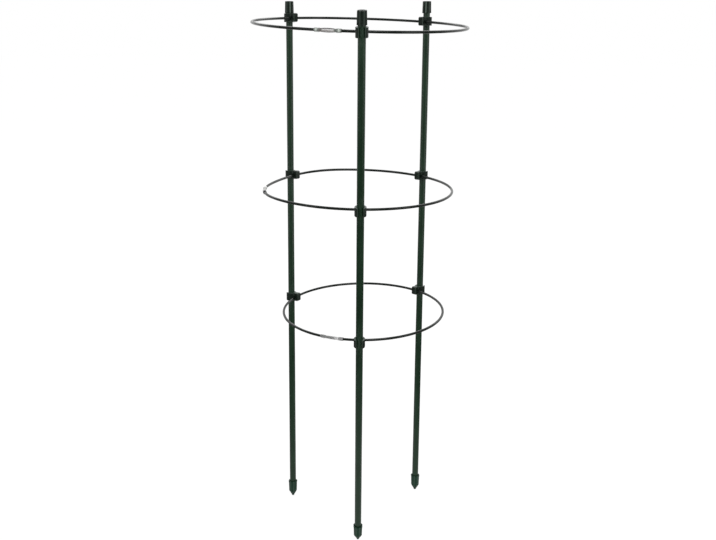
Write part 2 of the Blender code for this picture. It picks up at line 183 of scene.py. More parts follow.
class SleeveSizes(bpy.types.PropertyGroup):
    length: size("Length", 0.0260, "End to end along the wire")
    bore: size("Bore", 0.0032, "Inside diameter")
    collar: size("Collar", 0.0044, "Length of the collar at each end")
    groove: size("Groove", 0.0005, "Step between collar and neck")
    collar_wall: size("Collar wall", 0.00035, "Wall of the collars")
    bulge_wall: size("Bulge wall", 0.00055, "Wall at the middle of the bulge")
    lip: size("Lip", 0.00015, "Rounding of the collars' ends")
    passage: size("Passage", 0.00155, "Least inside radius, where a wire end passes a neck")


class ClipSizes(bpy.types.PropertyGroup):
    height: size("Height", 0.0094, "Along the stake")
    collar_radius: size("Collar radius", 0.0060, "Outside of the collar round the stake")
    socket_radius: size("Socket radius", 0.0041, "Inside of the collar")
    mouth: size("Mouth", 0.0056, "Opening that snaps over the stake")
    jaw_end: size("Jaw end", 0.0049, "How far the jaws reach past the stake's axis")
    reach: size("Reach", 0.0113, "From the stake's axis to the end of the nose")
    nose: size("Nose", 0.0060, "Width of the nose, along the wire")
    slant: size("Slant", 0.0012, "How far the nose slants back above and below")
    rounding: size("Rounding", 0.00022, "Radius of the moulded edges")
    corner: size("Corner", 0.00026, "How softly the corners of its outline are rounded")
    channel: size("Channel", 0.0034, "Diameter of the channel for the wire")
    flare: size("Flare", 0.00025, "How much wider the channel's two mouths are")


class Finishes(bpy.types.PropertyGroup):
    coat: colour("Stake coat", "#0d2b16", "Green of the stakes' coat")
    coat_worn: colour("Worn coat", "#3c4c42", "Coat where a clip has rubbed it")
    moulding: colour("Moulding", "#08140c", "Black green of caps and clips")
    tip: colour("Tip", "#0a2e1f", "Greener, softer plastic of the tips")
    # The pale moulding colour is also used for the painted highlights on the lands and the clips' edges
    moulding_pale_and_highlight: colour("Pale moulding", "#6c7b71", "Moulding where the plastic has paled")
    wire: colour("Wire coat", "#0c120e", "Nearly black green of the wire's coat")
    wire_pale: colour("Pale wire coat", "#18211b", "Wire's coat where it has paled")
    steel: colour("Steel", "#b9bbbd", "Cut wire ends and the tubes inside the stakes")
    floor: colour("Floor", "#f2f2f2", "Studio floor")


class PlantSupportSettings(bpy.types.PropertyGroup):
    stake: PointerProperty(type=StakeSizes)
    cap: PointerProperty(type=CapSizes)
    tip: PointerProperty(type=TipSizes)
    wire: PointerProperty(type=WireSizes)
    sleeve: PointerProperty(type=SleeveSizes)
    clip: PointerProperty(type=ClipSizes)
    finish: PointerProperty(type=Finishes)


def unit(vector):
    """The vector scaled to length one."""
    vector = np.asarray(vector, float)
    return vector / np.linalg.norm(vector, axis=-1, keepdims=True)


def around(count):
    """Bearings evenly spread round a circle."""
    return np.linspace(0.0, 2 * math.pi, count, endpoint=False)


def share(values, start, end):
    """How far each value is from start to end, from 0 to 1, and level beyond them."""
    return np.clip((values - start) / (end - start), 0.0, 1.0)


def bell(distance, width):
    """A bell curve, e to the power of -(distance / width)^2."""
    return np.exp(-((distance / width) ** 2))


def spun(r, z, a):
    """Points at radii r, heights z and bearings a: x = r cos a, y = r sin a."""
    x, y = r * np.cos(a), r * np.sin(a)
    return np.stack([x, y, np.broadcast_to(z, x.shape)], axis=-1)


def tube(middles, outwards, up, radius, columns):
    """A circle carried along a line: middle + r cos(a) outward + r sin(a) up. Its grid of
    points comes with how far outward and how far up each of them is."""
    a = around(columns)
    out, rise = radius[:, None] * np.cos(a), radius[:, None] * np.sin(a)
    return middles[:, None] + out[..., None] * outwards[:, None] + rise[..., None] * up, out, rise


def mesh_points(mesh):
    """The points of a mesh as an array."""
    flat = np.empty(len(mesh.vertices) * 3, np.float32)
    mesh.vertices.foreach_get("co", flat)
    return flat.reshape(-1, 3).astype(float)


def corners(node):
    """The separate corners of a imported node, in metres."""
    return np.unique(mesh_points(NODES[node].data), axis=0)


def pattern_start(kind, index):
    """Where in the endless patterns a piece is cut from, in millimetres along them."""
    first, step = PATTERN_PLACES[kind]
    return first + step * index


class HoopLine:
    """The line along the middle of a hoop's wire.

    Its distance from the hoop's middle is R (1 + oval cos 2(b - long axis) - drawn in), b the
    bearing, where the straightened side is drawn in by a raised cosine.
    """

    def __init__(self, level):
        origin, radius, oval, long_axis, straightened, side, joint = HOOP_SHAPES[level]
        self.level = level
        self.origin = np.array(origin)
        self.radius = radius
        self.oval = oval
        self.long_axis = math.radians(long_axis)
        self.straightened = straightened
        self.side = math.radians(side)
        self.joint = np.array(math.radians(joint))
        self.n = unit(JOINTS[level + "_sleeve_slide_round"]["axis"])
        self.u = unit(np.cross((0.0, 1.0, 0.0), self.n))
        self.w = np.cross(self.n, self.u)

    def point(self, bearing):
        """Points of the line at an array of bearings."""
        turn = (bearing - self.side + math.pi) % (2 * math.pi) - math.pi
        along = np.clip(turn / STRAIGHT_HALF_WIDTH, -1.0, 1.0)
        drawn_in = self.straightened * (1 + np.cos(math.pi * along)) / 2
        reach = self.radius * (1 + self.oval * np.cos(2 * (bearing - self.long_axis)) - drawn_in)
        x, y = reach * np.cos(bearing), reach * np.sin(bearing)
        return self.origin + x[..., None] * self.u + y[..., None] * self.w

    def distance(self, bearing):
        """How far the line is from the hoop's middle at one bearing."""
        return np.linalg.norm(self.point(bearing) - self.origin)

    def outward(self, bearing):
        """Square to the line, in the hoop's plane and away from its middle."""
        step = 1e-4
        along = unit(self.point(bearing + step) - self.point(bearing - step))
        return np.cross(along, self.n)

    def nearest(self, point):
        """The bearing at which the line passes nearest to a point. It is looked for round the
        point's own bearing, in four rounds that each keep a fiftieth of the last one's span."""
        away = point - self.origin
        middle, half_span = math.atan2(away @ self.w, away @ self.u), 0.2
        for _ in range(4):
            bearings = np.linspace(middle - half_span, middle + half_span, 401)
            gaps = np.linalg.norm(self.point(bearings) - point, axis=1)
            middle, half_span = bearings[gaps.argmin()], half_span / 50
        return middle


class StakeLine:
    """A stake's axis: its foot on the ground, its direction, and two axes across it."""

    def __init__(self, side, length, hoop):
        self.side = side
        self.direction = unit(JOINTS[side + "_stake_slide"]["axis"])
        coat = corners(side + "_stake_coat").mean(axis=0)
        top = (corners(side + "_stake_cap") @ self.direction).max()
        self.foot = coat + (top - length - coat @ self.direction) * self.direction
        self.axes = self.axes_at(hoop)

    def crossing(self, hoop):
        """Where the stake's axis crosses a hoop's plane."""
        rise = (hoop.origin - self.foot) @ hoop.n / (self.direction @ hoop.n)
        return self.foot + rise * self.direction

    def axes_at(self, hoop):
        """Across, outward and along the stake where it passes a hoop's wire. Outward points
        away from the hoop's middle, square to the stake."""
        away = hoop.outward(np.array(hoop.nearest(self.crossing(hoop))))
        outward = unit(away - (away @ self.direction) * self.direction)
        return np.array([np.cross(outward, self.direction), outward, self.direction])


def lines_of(settings):
    """The three hoop lines and the three stake lines."""
    hoops = [HoopLine(level) for level in LEVELS]
    stakes = [StakeLine(side, settings.stake.length, hoops[0]) for side in SIDES]
    return hoops, stakes


def shade(mesh, sharp_degrees):
    """Smooth shading that keeps the sharper edges crisp."""
    mesh.shade_smooth()
    mesh.set_sharp_from_angle(angle=math.radians(sharp_degrees))


def mesh_of(name, points, faces, sharp_degrees):
    """A mesh from points and faces, turned so that its faces point outwards: the sum of
    a . (b x c) over its triangles is six times its volume."""
    mesh = bpy.data.meshes.new(name)
    mesh.from_pydata(points, [], faces)
    mesh.calc_loop_triangles()
    triangles = np.empty(len(mesh.loop_triangles) * 3, np.int32)
    mesh.loop_triangles.foreach_get("vertices", triangles)
    a, b, c = points[triangles.reshape(-1, 3)].transpose(1, 0, 2)
    if np.einsum("ij,ij->", a - points.mean(axis=0), np.cross(b - a, c - a)) < 0:
        mesh.flip_normals()
    shade(mesh, sharp_degrees)
    return mesh


def grid_faces(rows, columns, closed):
    """Faces between the rows of a grid whose columns go round: closed joins last to first."""
    row = np.arange(rows if closed else rows - 1)[:, None]
    column = np.arange(columns)[None, :]
    after, beside = (row + 1) % rows, (column + 1) % columns
    quads = np.stack([
        row * columns + column, row * columns + beside,
        after * columns + beside, after * columns + column,
    ], axis=-1)
    return quads.reshape(-1, 4).tolist()


def fan(ring, pole):
    """Triangles from each step of a ring of points to one point in its middle."""
    return np.stack([ring, np.roll(ring, -1), np.full(len(ring), pole)], axis=1).tolist()


def grid_mesh(name, grid, ends="closed", sharp_degrees=SHARP_DEGREES):
    """A mesh over a grid of points whose columns go round the piece.

    The ends are closed (the last row joins the first), poles (each end row runs into one
    point, the middle of the row) or faces (each end row is filled by one flat face).
    """
    rows, columns = grid.shape[:2]
    points = grid.reshape(-1, 3)
    faces = grid_faces(rows, columns, ends == "closed")
    first = np.arange(columns)
    last = (rows - 1) * columns + first
    if ends == "poles":
        points = np.vstack([points, grid[0].mean(axis=0), grid[-1].mean(axis=0)])
        faces += fan(first[::-1], rows * columns) + fan(last, rows * columns + 1)
    if ends == "faces":
        faces += [first[::-1].tolist(), last.tolist()]
    return mesh_of(name, points, faces, sharp_degrees)


def set_attribute(mesh, name, values):
    """Store a number or a vector for each point of a mesh."""
    values = np.asarray(values, np.float32)
    kind, field = ("FLOAT", "value") if values.ndim == 1 else ("FLOAT_VECTOR", "vector")
    attribute = mesh.attributes.new(name, kind, "POINT")
    attribute.data.foreach_set(field, values.ravel())


def own_coordinates(mesh, centre, axes, start):
    """Store millimetres across, outward and along the piece itself, for its patterns. The
    start sets where in the endless patterns this piece was cut from."""
    local = (mesh_points(mesh) - centre) @ axes.T * MM
    set_attribute(mesh, "own_mm", local + np.array([0.0, 0.0, start]))
    return local


def add_object(name, data):
    """A new object in the scene."""
    item = bpy.data.objects.new(name, data)
    bpy.context.scene.collection.objects.link(item)
    return item


def add_piece(name, mesh, materials, body, slot, *nodes):
    """Link a finished piece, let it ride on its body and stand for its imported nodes."""
    piece = add_object(name, mesh)
    for material in materials:
        mesh.materials.append(material)
    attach(piece, body)
    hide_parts(*nodes)


def rounded(profile, steps=5):
    """A line of (radius, height, rounding) corners with each corner turned into an arc.

    The arc runs from the point a rounding's tangent length before the corner to the one
    after it, as a curve of the second degree: (1-t)^2 a + 2 t (1-t) corner + t^2 b.
    """
    points = []
    t = np.linspace(0.0, 1.0, steps + 1)[:, None]
    for index, (r, z, rounding) in enumerate(profile):
        corner = np.array([r, z])
        if rounding == 0 or index in (0, len(profile) - 1):
            points.append(corner[None])
            continue
        before = np.array(profile[index - 1][:2]) - corner
        after = np.array(profile[index + 1][:2]) - corner
        a = corner + unit(before) * min(rounding, 0.49 * np.linalg.norm(before))
        b = corner + unit(after) * min(rounding, 0.49 * np.linalg.norm(after))
        points.append((1 - t) ** 2 * a + 2 * t * (1 - t) * corner + t ** 2 * b)
    return np.vstack(points)


def subdivided(line):
    """A line with points added so that no step along it is too long."""
    pieces = [line[:1]]
    for a, b in zip(line, line[1:]):
        count = max(1, math.ceil(np.linalg.norm(b - a) / STEP))
        pieces.append(a + (b - a) * (np.arange(1, count + 1) / count)[:, None])
    return np.vstack(pieces)


# Materials


def add_node(tree, kind, inputs=(), output=0, **settings):
    """Add a node with its settings, and give back one of its outputs. Its inputs come in
    their order or by name, and each is set to a value or linked to another node's output."""
    node = tree.nodes.new("ShaderNode" + kind)
    for key, value in settings.items():
        setattr(node, key, value)
    for key, value in inputs.items() if isinstance(inputs, dict) else enumerate(inputs):
        if isinstance(value, bpy.types.NodeSocket):
            tree.links.new(value, node.inputs[key])
        else:
            node.inputs[key].default_value = value
    return node.outputs[output] if node.outputs else None


def new_material(name):
    """A material with an empty tree."""
    material = bpy.data.materials.new(name)
    material.use_nodes = True
    material.node_tree.nodes.clear()
    return material, material.node_tree


def finish_material(tree, inputs):
    """End a tree with the Principled shader and the material's output."""
    add_node(tree, "OutputMaterial", [add_node(tree, "BsdfPrincipled", inputs)])


def streaks(tree, place, scale, detail):
    """Noise drawn out by its scale, the number of its spots to a millimetre on each axis."""
    drawn = add_node(tree, "Mapping", {"Vector": place, "Scale": scale})
    return add_node(tree, "TexNoise", {"Vector": drawn, "Scale": 1.0, "Detail": detail})


def polyethylene_coat(finish):
    """Dark green polyethylene, extruded round the steel tube.

    Extrusion leaves long faint lines and slow bands of sheen, and the cold-drawn skin has a
    fine orange peel. Where a clip has been pushed along, the skin is rubbed pale and dull.
    """
    material, tree = new_material("extruded_polyethylene_coat")
    green, rubbed_green = (*finish.coat, 1.0), (*finish.coat_worn, 1.0)
    own = add_node(tree, "Attribute", output="Vector", attribute_name="own_mm")
    rub = add_node(tree, "Attribute", output="Fac", attribute_name="rub")
    # Lines 0.5 mm apart that run on for about 80 mm, bands of sheen 25 mm long, orange peel
    # 0.4 mm across, and scratches 0.15 mm wide and 6 mm long where a clip rubs
    lines = streaks(tree, own, (2.0, 2.0, 0.012), 3.0)
    bands = streaks(tree, own, (0.12, 0.12, 0.04), 2.0)
    peel = add_node(tree, "TexNoise", {"Vector": own, "Scale": 2.5, "Detail": 2.0})
    scratches = streaks(tree, own, (6.0, 6.0, 0.16), 4.0)
    marked = add_node(tree, "MapRange", [scratches, 0.52, 0.66, 0.0, 1.0])
    paling = add_node(tree, "Math", [marked, rub], operation="MULTIPLY")
    paled = add_node(tree, "MapRange", [lines, 0.35, 0.75, 0.0, 0.08])
    lined = add_node(tree, "Mix", {0: paled, 6: green, 7: rubbed_green}, 2, data_type="RGBA")
    light = add_node(tree, "MapRange", [bands, 0.3, 0.7, 0.78, 1.18])
    banded = add_node(tree, "VectorMath", {0: lined, 3: light}, operation="SCALE")
    base = add_node(tree, "Mix", {0: paling, 6: banded, 7: rubbed_green}, 2, data_type="RGBA")
    sheen = add_node(tree, "MapRange", [bands, 0.3, 0.7, 0.27, 0.36])
    rough = add_node(tree, "Math", [paling, 0.25, sheen], operation="MULTIPLY_ADD")
    height = add_node(tree, "Math", [lines, 0.7, peel], operation="MULTIPLY_ADD")
    bump = add_node(tree, "Bump", {"Height": height, "Strength": 0.35, "Distance": 0.00004})
    finish_material(tree, {"Base Color": base, "Roughness": rough, "Normal": bump,
                           "IOR": 1.51, "Specular IOR Level": 0.44})
    return material


def polypropylene_moulding(name, finish, dark, grain):
    """Black green polypropylene, moulded in a spark-eroded steel tool.

    The tool leaves an even fine grain, flow leaves faint clouds, and the raised edges are
    a little paler and smoother where they have been handled. That paler colour on the lands and
    the clips' edges also carries a painted highlight.
    """
    material, tree = new_material(name)
    own = add_node(tree, "Attribute", output="Vector", attribute_name="own_mm")
    edge = add_node(tree, "Attribute", output="Fac", attribute_name="edge")
    # Clouds 3 mm across, the tool's grain in pits to the millimetre, and dust 0.25 mm across
    clouds = add_node(tree, "TexNoise", {"Vector": own, "Scale": 0.35, "Detail": 4.0})
    pits = add_node(tree, "TexVoronoi", {"Vector": own, "Scale": grain}, "Distance")
    dust = add_node(tree, "TexNoise", {"Vector": own, "Scale": 4.0, "Detail": 3.0})
    cloudy = add_node(tree, "MapRange", [clouds, 0.35, 0.75, 0.0, 0.08])
    uneven = add_node(tree, "MapRange", [dust, 0.3, 0.7, 0.55, 1.0])
    # Edges paled by handling and by a painted highlight
    paling = add_node(tree, "Math", [edge, uneven], operation="MULTIPLY")
    paled = add_node(tree, "Math", [cloudy, paling], operation="MAXIMUM")
    ends = {0: paled, 6: (*dark, 1.0), 7: (*finish.moulding_pale_and_highlight, 1.0)}
    base = add_node(tree, "Mix", ends, 2, data_type="RGBA")
    dull = add_node(tree, "MapRange", [clouds, 0.3, 0.7, 0.36, 0.46])
    rough = add_node(tree, "Math", [edge, -0.12, dull], operation="MULTIPLY_ADD")
    bump = add_node(tree, "Bump", {"Height": pits, "Strength": 0.30, "Distance": 0.00003})
    finish_material(tree, {"Base Color": base, "Roughness": rough, "Normal": bump,
                           "IOR": 1.49, "Specular IOR Level": 0.18})
    return material


def drawn_wire_coat(finish):
    """Nearly black green plastic drawn over the steel wire.

    It is smooth and glossy, with shallow lumps a few millimetres long, faint lines along the
    wire and small dull scuffs.
    """
    material, tree = new_material("drawn_wire_coat")
    own = add_node(tree, "Attribute", output="Vector", attribute_name="own_mm")
    # Lumps 4 mm long, lines 0.4 mm apart, scuffs 1.5 mm long
    lumps = streaks(tree, own, (0.5, 0.5, 0.22), 2.0)
    lines = streaks(tree, own, (2.6, 2.6, 0.03), 3.0)
    scuffs = streaks(tree, own, (3.0, 3.0, 0.7), 4.0)
    scuffed = add_node(tree, "MapRange", [scuffs, 0.60, 0.72, 0.0, 0.7])
    lined = add_node(tree, "MapRange", [lines, 0.4, 0.8, 0.0, 0.6])
    paled = add_node(tree, "Math", [scuffed, lined], operation="MAXIMUM")
    ends = {0: paled, 6: (*finish.wire, 1.0), 7: (*finish.wire_pale, 1.0)}
    base = add_node(tree, "Mix", ends, 2, data_type="RGBA")
    sheen = add_node(tree, "MapRange", [lumps, 0.3, 0.7, 0.14, 0.24])
    rough = add_node(tree, "Math", [scuffed, 0.2, sheen], operation="MULTIPLY_ADD")
    height = add_node(tree, "Math", [lines, 0.3, lumps], operation="MULTIPLY_ADD")
    bump = add_node(tree, "Bump", {"Height": height, "Strength": 0.4, "Distance": 0.00005})
    finish_material(tree, {"Base Color": base, "Roughness": rough, "Normal": bump,
                           "IOR": 1.52, "Specular IOR Level": 0.36})
    return material


def sheared_steel(finish):
    """The wire's steel core where it was sheared: bright, with drag lines across the cut."""
    material, tree = new_material("sheared_wire_steel")
    own = add_node(tree, "Attribute", output="Vector", attribute_name="own_mm")
    # Drag lines 0.08 mm apart
    lines = streaks(tree, own, (12.0, 1.5, 1.0), 3.0)
    light = add_node(tree, "MapRange", [lines, 0.3, 0.7, 0.65, 1.0])
    base = add_node(tree, "VectorMath", {0: finish.steel, 3: light}, operation="SCALE")
    rough = add_node(tree, "MapRange", [lines, 0.3, 0.7, 0.28, 0.5])
    bump = add_node(tree, "Bump", {"Height": lines, "Strength": 0.4, "Distance": 0.00003})
    finish_material(tree, {"Base Color": base, "Roughness": rough, "Normal": bump, "Metallic": 1.0})
    return material


def galvanised_steel(finish):
    """The thin-walled tube inside a stake: zinc with dull crystals 3 mm across."""
    material, tree = new_material("galvanised_tube_steel")
    place = add_node(tree, "TexCoord", output="Object")
    crystals = add_node(tree, "TexVoronoi", {"Vector": place, "Scale": 330.0}, "Color")
    grey = add_node(tree, "RGBToBW", [crystals])
    light = add_node(tree, "MapRange", [grey, 0.2, 0.8, 0.72, 1.0])
    base = add_node(tree, "VectorMath", {0: finish.steel, 3: light}, operation="SCALE")
    rough = add_node(tree, "MapRange", [grey, 0.2, 0.8, 0.30, 0.52])
    finish_material(tree, {"Base Color": base, "Roughness": rough, "Metallic": 1.0})
    return material


def clear_sleeve_plastic():
    """Soft clear PVC, moulded over a pin.

    Looked at squarely it hides little of what is behind, and towards its rims the long way
    through the wall turns it brown-grey. Where a wire sits in it, it is cloudy. How much each
    place hides, and in what colour, is stored on the piece for both, as face and rim; these
    colours hold a painted highlight ring in the top sleeve's collars and painted shade bands
    along its swelling. Faint flow lines and small bubbles run along it.
    """
    material, tree = new_material("moulded_soft_pvc")
    own = add_node(tree, "Attribute", output="Vector", attribute_name="own_mm")
    face = add_node(tree, "Attribute", output="Vector", attribute_name="face_colour")
    rim = add_node(tree, "Attribute", output="Vector", attribute_name="rim_colour")
    face_hides = add_node(tree, "Attribute", output="Fac", attribute_name="face_hides")
    rim_hides = add_node(tree, "Attribute", output="Fac", attribute_name="rim_hides")
    facing = add_node(tree, "LayerWeight", {"Blend": 0.5}, "Facing")
    turned_away = add_node(tree, "MapRange", [facing, 0.08, 0.50, 0.0, 1.0],
                           interpolation_type="SMOOTHSTEP")
    # Flow lines 0.5 mm apart and 10 mm long, and bubbles 0.3 mm across
    lines = streaks(tree, own, (2.0, 2.0, 0.1), 3.0)
    bubbles = add_node(tree, "TexVoronoi", {"Vector": own, "Scale": 1.4}, "Distance")
    bubbled = add_node(tree, "MapRange", [bubbles, 0.10, 0.20, 1.35, 1.0])
    hazy = add_node(tree, "MapRange", [lines, 0.3, 0.7, 0.85, 1.15])
    uneven = add_node(tree, "Math", [hazy, bubbled], operation="MULTIPLY")
    hides = add_node(tree, "Mix", {0: turned_away, 2: face_hides, 3: rim_hides})
    alpha = add_node(tree, "Math", [hides, uneven], operation="MULTIPLY", use_clamp=True)
    base = add_node(tree, "Mix", {0: turned_away, 6: face, 7: rim}, 2, data_type="RGBA")
    bump = add_node(tree, "Bump", {"Height": lines, "Strength": 0.25, "Distance": 0.00003})
    finish_material(tree, {"Base Color": base, "Alpha": alpha, "Normal": bump, "Roughness": 0.18,
                           "IOR": 1.53, "Specular IOR Level": 0.15})
    return material


def seen_ray(tree):
    """1 for a ray from the camera or through clear plastic, and 0 for the others."""
    rays = [add_node(tree, "LightPath", output=f"Is {kind} Ray") for kind in ("Camera", "Transmission")]
    return add_node(tree, "Math", rays, operation="MAXIMUM")


def studio_white(finish):
    """Matt white floor. The camera and clear plastic see it nearly as white as the backdrop,
    with a trace of the object's shadow. Reflections see it lit under the object and behind it,
    dim round that, and grey far off."""
    material, tree = new_material("matt_white_floor")
    place = add_node(tree, "TexCoord", output="Object")
    # Tooth 30 mm across
    tooth = add_node(tree, "TexNoise", {"Vector": place, "Scale": 30.0, "Detail": 2.0})
    light = add_node(tree, "MapRange", [tooth, 0.3, 0.7, 0.985, 1.0])
    base = add_node(tree, "VectorMath", {0: finish.floor, 3: light}, operation="SCALE")
    matt = add_node(tree, "BsdfPrincipled", {"Base Color": base, "Roughness": 0.9, "IOR": 1.45})
    gloss = add_node(tree, "LightPath", output="Is Glossy Ray")
    nearly = add_node(tree, "Math", [seen_ray(tree), 0.85], operation="MULTIPLY")
    shown = add_node(tree, "Math", [nearly, gloss], operation="MAXIMUM")
    away = add_node(tree, "VectorMath", [place], "Value", operation="LENGTH")
    depth = add_node(tree, "SeparateXYZ", [place], "Y")
    # The strength of each stretch of the floor: under the object, far off, and behind it
    stretches = ([away, 0.10, 0.50, 0.60, 0.06], [away, 1.2, 2.4, 0.0, 0.30], [depth, 0.1, 1.0, 0.0, 1.0])
    near, far, back = [add_node(tree, "MapRange", stretch, interpolation_type="SMOOTHSTEP")
                       for stretch in stretches]
    front = add_node(tree, "Math", [near, far], operation="MAXIMUM")
    reflected = add_node(tree, "Math", [front, back], operation="MAXIMUM")
    strength = add_node(tree, "Mix", {0: gloss, 2: 1.06, 3: reflected})
    glow = add_node(tree, "Emission", {"Color": (1.0, 1.0, 1.0, 1.0), "Strength": strength})
    add_node(tree, "OutputMaterial", [add_node(tree, "MixShader", [shown, matt, glow])])
    return material


# Pieces


def coat_grid(settings, start):
    """The coat of a stake in metres, along z: a thin closed tube.

    Outside, r = R + 0.6 ripple (sin + 0.6 sin) of two slow waves round and along, 107 and
    40 mm long, and inside r is a wall less. Both ends are rounded over the wall.
    """
    sizes, tip, cap = settings.stake, settings.tip, settings.cap
    low = tip.nub + tip.cone + tip.floor + sizes.clearance
    high = sizes.length - cap.roof - sizes.clearance
    outer, inner = sizes.diameter / 2, sizes.diameter / 2 - sizes.coat_wall
    edge = sizes.coat_wall * 0.4
    heights = np.linspace(low + edge, high - edge, COAT_ROWS)
    down = heights[::-COAT_ROWS // 5]
    rim = np.linspace(0.0, math.pi, 9)
    across, rise = sizes.coat_wall / 2 * np.cos(rim), edge * np.sin(rim)
    middle = (outer + inner) / 2
    z = np.concatenate([heights, high - edge + rise, down, low + edge - rise])[:, None]
    r = np.concatenate([
        np.full(COAT_ROWS, outer), middle + across, np.full(len(down), inner), middle - across,
    ])[:, None]
    outside = np.arange(len(z))[:, None] < COAT_ROWS
    a = around(COAT_COLUMNS)
    along = z * MM + start
    waves = np.sin(along / 17.0 + 2 * a) + 0.6 * np.sin(along / 6.3 - 3 * a + 1.3)
    return spun(r + sizes.ripple * 0.6 * outside * waves, z, a)


def clip_height(stake, level):
    """How far up its stake the middle of a packed clip sits."""
    rises = (corners(f"{level}_{stake.side}_clip") - stake.foot) @ stake.direction
    return (rises.min() + rises.max()) / 2


class SUPPORT_OT_stake_tubes(bpy.types.Operator):
    """Give the steel tubes inside the stakes their zinc finish"""

    bl_idname = "plant_support.stake_tubes"
    bl_label = "Stake tubes"

    def execute(self, context):
        material = galvanised_steel(context.scene.plant_support.finish)
        for side in SIDES:
            for slot in NODES[side + "_stake_tube"].material_slots:
                slot.material = material
        return {"FINISHED"}


class SUPPORT_OT_stake_coats(bpy.types.Operator):
    """Build the green coats of the three stakes"""

    bl_idname = "plant_support.stake_coats"
    bl_label = "Stake coats"

    def execute(self, context):
        settings = context.scene.plant_support
        material = polyethylene_coat(settings.finish)
        for index, stake in enumerate(lines_of(settings)[1]):
            start = pattern_start("coat", index)
            mesh = grid_mesh(stake.side + "_coat", stake.foot + coat_grid(settings, start) @ stake.axes)
            local = own_coordinates(mesh, stake.foot, stake.axes, start)
            rub = [bell(local[:, 2] - clip_height(stake, level) * MM, RUB_REACH) for level in LEVELS]
            set_attribute(mesh, "rub", np.max(rub, axis=0))
            add_piece(stake.side + "_coated_stake", mesh, [material], stake.side + "_stake",
                      "stake_coat", stake.side + "_stake_coat")
        return {"FINISHED"}


def cap_profile(settings):
    """The cap's half section, from the roof of its socket round its wall to the middle of its
    top, as radius, height and depth of the flutes. They fade out over the crown, and the
    socket has none."""
    cap, stake = settings.cap, settings.stake
    bore = stake.diameter / 2 + stake.clearance
    mouth, top = stake.length - cap.length, stake.length
    inside, sunk = top - cap.roof, top - cap.crown_depth
    outer_low, outer_high = bore + cap.mouth_wall, bore + cap.top_wall
    flat = outer_high - cap.crown_width
    line = subdivided(rounded([
        (0.0, inside, 0.0), (bore, inside, EASED), (bore, mouth + LEAD_HEIGHT, EASED),
        (bore + LEAD_WIDTH, mouth, FINE), (outer_low, mouth, 0.00025), (outer_high, top, EASED),
        (flat, top, SMALL), (flat - FINE, sunk, SMALL), (cap.gate, sunk, FINE),
        (cap.gate - FINE, sunk + 0.00025, FINE), (0.0, sunk + 0.0003, 0.0),
    ]))
    r, z = line.T
    across_mouth = share(r, bore + LEAD_WIDTH, outer_low - FINE)
    over_crown = share(r, flat + FINE, outer_high - SMALL)
    fluted = np.where(z < mouth + 1e-5, across_mouth, over_crown)
    in_socket = (r < bore + SOFT) & (z < inside + 1e-6)
    return line, np.where(in_socket, 0.0, fluted * cap.flute_depth)


def tip_profile(settings):
    """The tip's half section, from the floor of its socket round the rim, ferrule, cone and
    nub, as radius, height and depth of the flutes. They run out along the cone, and the
    socket has none."""
    tip, stake = settings.tip, settings.stake
    bore = stake.diameter / 2 + stake.clearance
    cone_top = tip.nub + tip.cone
    floor, length = cone_top + tip.floor, cone_top + tip.sleeve
    rim, rim_low = bore + tip.rim_wall, length - tip.rim
    nub, bevel = tip.nub_diameter / 2, tip.nub_bevel
    line = subdivided(rounded([
        (0.0, floor, 0.0), (bore, floor, EASED), (bore, length - LEAD_HEIGHT, EASED),
        (bore + LEAD_WIDTH, length, FINE), (rim, length, EASED), (rim, rim_low, EASED),
        (bore + tip.sleeve_wall, rim_low - tip.rim / 2, SOFT), (bore + tip.cone_wall, cone_top, SOFT),
        (tip.cone_end / 2, tip.nub, EASED), (nub, tip.nub, SMALL), (nub, bevel, EASED),
        (nub - bevel, 0.0, EASED), (0.0, 0.0, 0.0),
    ]))
    r, z = line.T
    across_mouth = share(r, bore + LEAD_WIDTH, rim - EASED)
    across_mouth = np.where(r > bore + FULL_FLUTE_WALL, 1.0, across_mouth * (r >= bore + SOFT))
    fluted = np.where(z > cone_top, across_mouth, share(z, tip.nub, cone_top))
    return line, fluted * settings.cap.flute_depth


def fluted_piece(stake, kind, name, node, profile, material, settings, first_land_wear_and_highlight):
    """Turn a fluted moulding about its stake, and mark its lands as handled edges that also carry
    a painted highlight.

    A flute takes depth ((1 - cos(flutes (a - first land))) / 2)^1.3 from the profile's radius,
    which leaves rounded grooves between wider lands. The paling of the lands follows the sixth
    power of (1 + cos(flutes (a - first land))) / 2, so it fades fast from the middle of a land.
    """
    line, depth = profile
    flutes, first = settings.cap.flutes, math.radians(FIRST_LANDS[stake.side])
    a = around(flutes * FLUTE_COLUMNS)
    groove = ((1 - np.cos(flutes * (a - first))) / 2) ** 1.3
    grid = spun(line[:, :1] - depth[:, None] * groove, line[:, 1:], a)
    mesh = grid_mesh(name, stake.foot + grid @ stake.axes, "poles", FLUTED_SHARP_DEGREES)
    start = pattern_start(kind, SIDES.index(stake.side))
    x, y, _ = own_coordinates(mesh, stake.foot, stake.axes, start).T
    turn = np.arctan2(y, x) - first
    land = (1 + np.cos(flutes * turn)) / 2
    # Lands paled by rubbing and a painted highlight, strongest on the first land of the left and right
    # caps
    land_wear_and_highlight = np.where(np.cos(turn) > math.cos(math.pi / flutes), first_land_wear_and_highlight, LAND_WEAR_AND_HIGHLIGHT)
    bore = (settings.stake.diameter / 2 + settings.stake.clearance) * MM
    set_attribute(mesh, "edge", land_wear_and_highlight * land ** 6 * (np.hypot(x, y) > bore + 0.3))
    add_piece(name, mesh, [material], stake.side + "_stake", "moulding", node)


class SUPPORT_OT_caps(bpy.types.Operator):
    """Build the fluted caps on top of the stakes"""

    bl_idname = "plant_support.caps"
    bl_label = "Caps"

    def execute(self, context):
        settings = context.scene.plant_support
        finish = settings.finish
        material = polypropylene_moulding("moulded_cap_polypropylene", finish, finish.moulding, 6.0)
        for stake in lines_of(settings)[1]:
            fluted_piece(stake, "cap", stake.side + "_fluted_cap", stake.side + "_stake_cap",
                         cap_profile(settings), material, settings, FIRST_LAND_WEAR_AND_HIGHLIGHT[stake.side])
        return {"FINISHED"}


